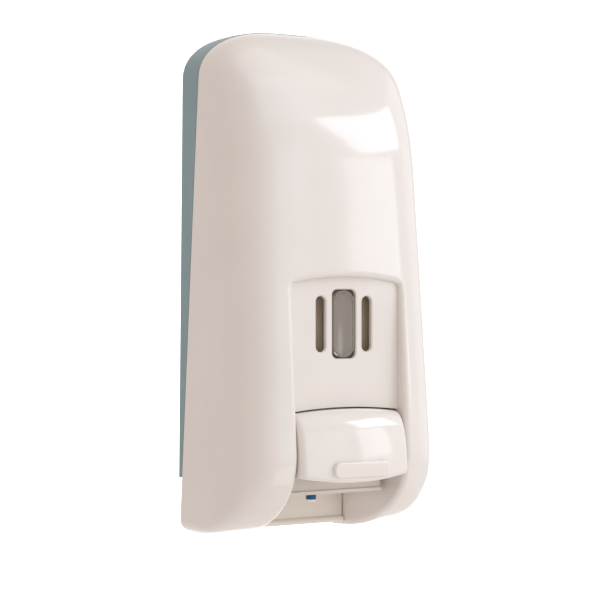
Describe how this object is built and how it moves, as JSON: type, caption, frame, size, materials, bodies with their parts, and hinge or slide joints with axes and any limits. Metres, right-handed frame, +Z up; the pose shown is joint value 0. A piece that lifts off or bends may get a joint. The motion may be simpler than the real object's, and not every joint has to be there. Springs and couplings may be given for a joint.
{
  "type": "wall mounted soap dispenser",
  "caption": "Wall mounted push-button liquid soap dispenser: domed white cover hinged at its foot over a reservoir and piston pump, with a sight lens and a blue outlet.",
  "frame": {"origin": "on the flat rear face of the back plate, which lies against the wall, on the centre plane, 143 mm above the lowest point of the cover", "axes": "+Z up, +Y into the wall (the rear face's outward normal), -Y out of the front into the room, +X to the right of someone facing the dispenser"},
  "size_m": [0.1248, 0.0866, 0.2758],
  "materials": {
    "cover_plastic": "glossy white moulding",
    "button_plastic": "glossy white moulding",
    "back_plastic": "grey-green moulding",
    "frame_plastic": "off-white moulding",
    "lens_clear": "clear moulding",
    "black_rubber": "moulded rubber",
    "stainless_steel": "plain",
    "nozzle_blue": "blue moulding",
    "bottle_natural": "natural polyethylene",
    "pump_grey": "grey moulding"
  },
  "bodies": {
    "base": {"back_plate": "back_plastic", "chassis": "frame_plastic", "chassis_screw_1": "stainless_steel", "chassis_screw_2": "stainless_steel", "chassis_screw_3": "stainless_steel", "chassis_screw_4": "stainless_steel", "hinge_pin_left": "stainless_steel", "hinge_pin_right": "stainless_steel", "pump_body": "bottle_natural", "pump_gland": "pump_grey", "return_spring": "stainless_steel", "inlet_ball": "stainless_steel", "nozzle": "nozzle_blue", "reservoir": "bottle_natural", "outlet_seal": "black_rubber", "top_clip": "stainless_steel"},
    "cover": {"front_cover": "cover_plastic", "sight_lens": "lens_clear", "lens_gasket": "black_rubber", "button_pin": "stainless_steel"},
    "button": {"push_button": "button_plastic"},
    "piston": {"pump_piston": "bottle_natural", "piston_seal": "black_rubber"},
    "filler_cap": {"filler_cap": "pump_grey", "filler_cap_seal": "black_rubber"}
  },
  "joints": [
    {"name": "cover_hinge", "type": "hinge", "parent": "base", "child": "cover", "pos_m": [0, -0.0124, -0.1326], "axis": [1, 0, 0], "range_deg": [0, 90]},
    {"name": "button_pivot", "type": "hinge", "parent": "cover", "child": "button", "pos_m": [0, -0.062, -0.083], "axis": [1, 0, 0], "range_deg": [0, 20], "stiffness_Nm_per_rad": 0.6, "springref_deg": -8.59},
    {"name": "piston_slide", "type": "slide", "parent": "base", "child": "piston", "axis": [0, 1, 0], "range_m": [0, 0.0068], "deforming": ["return_spring"]},
    {"name": "filler_cap_turn", "type": "hinge", "parent": "base", "child": "filler_cap", "pos_m": [0, -0.033, 0.0749], "axis": [0, 0, 1], "range_deg": [0, 90]}
  ],
  "couplings": [
    {"joint": "piston_slide", "follows": "button_pivot", "m_per_rad": 0.0187}
  ]
}
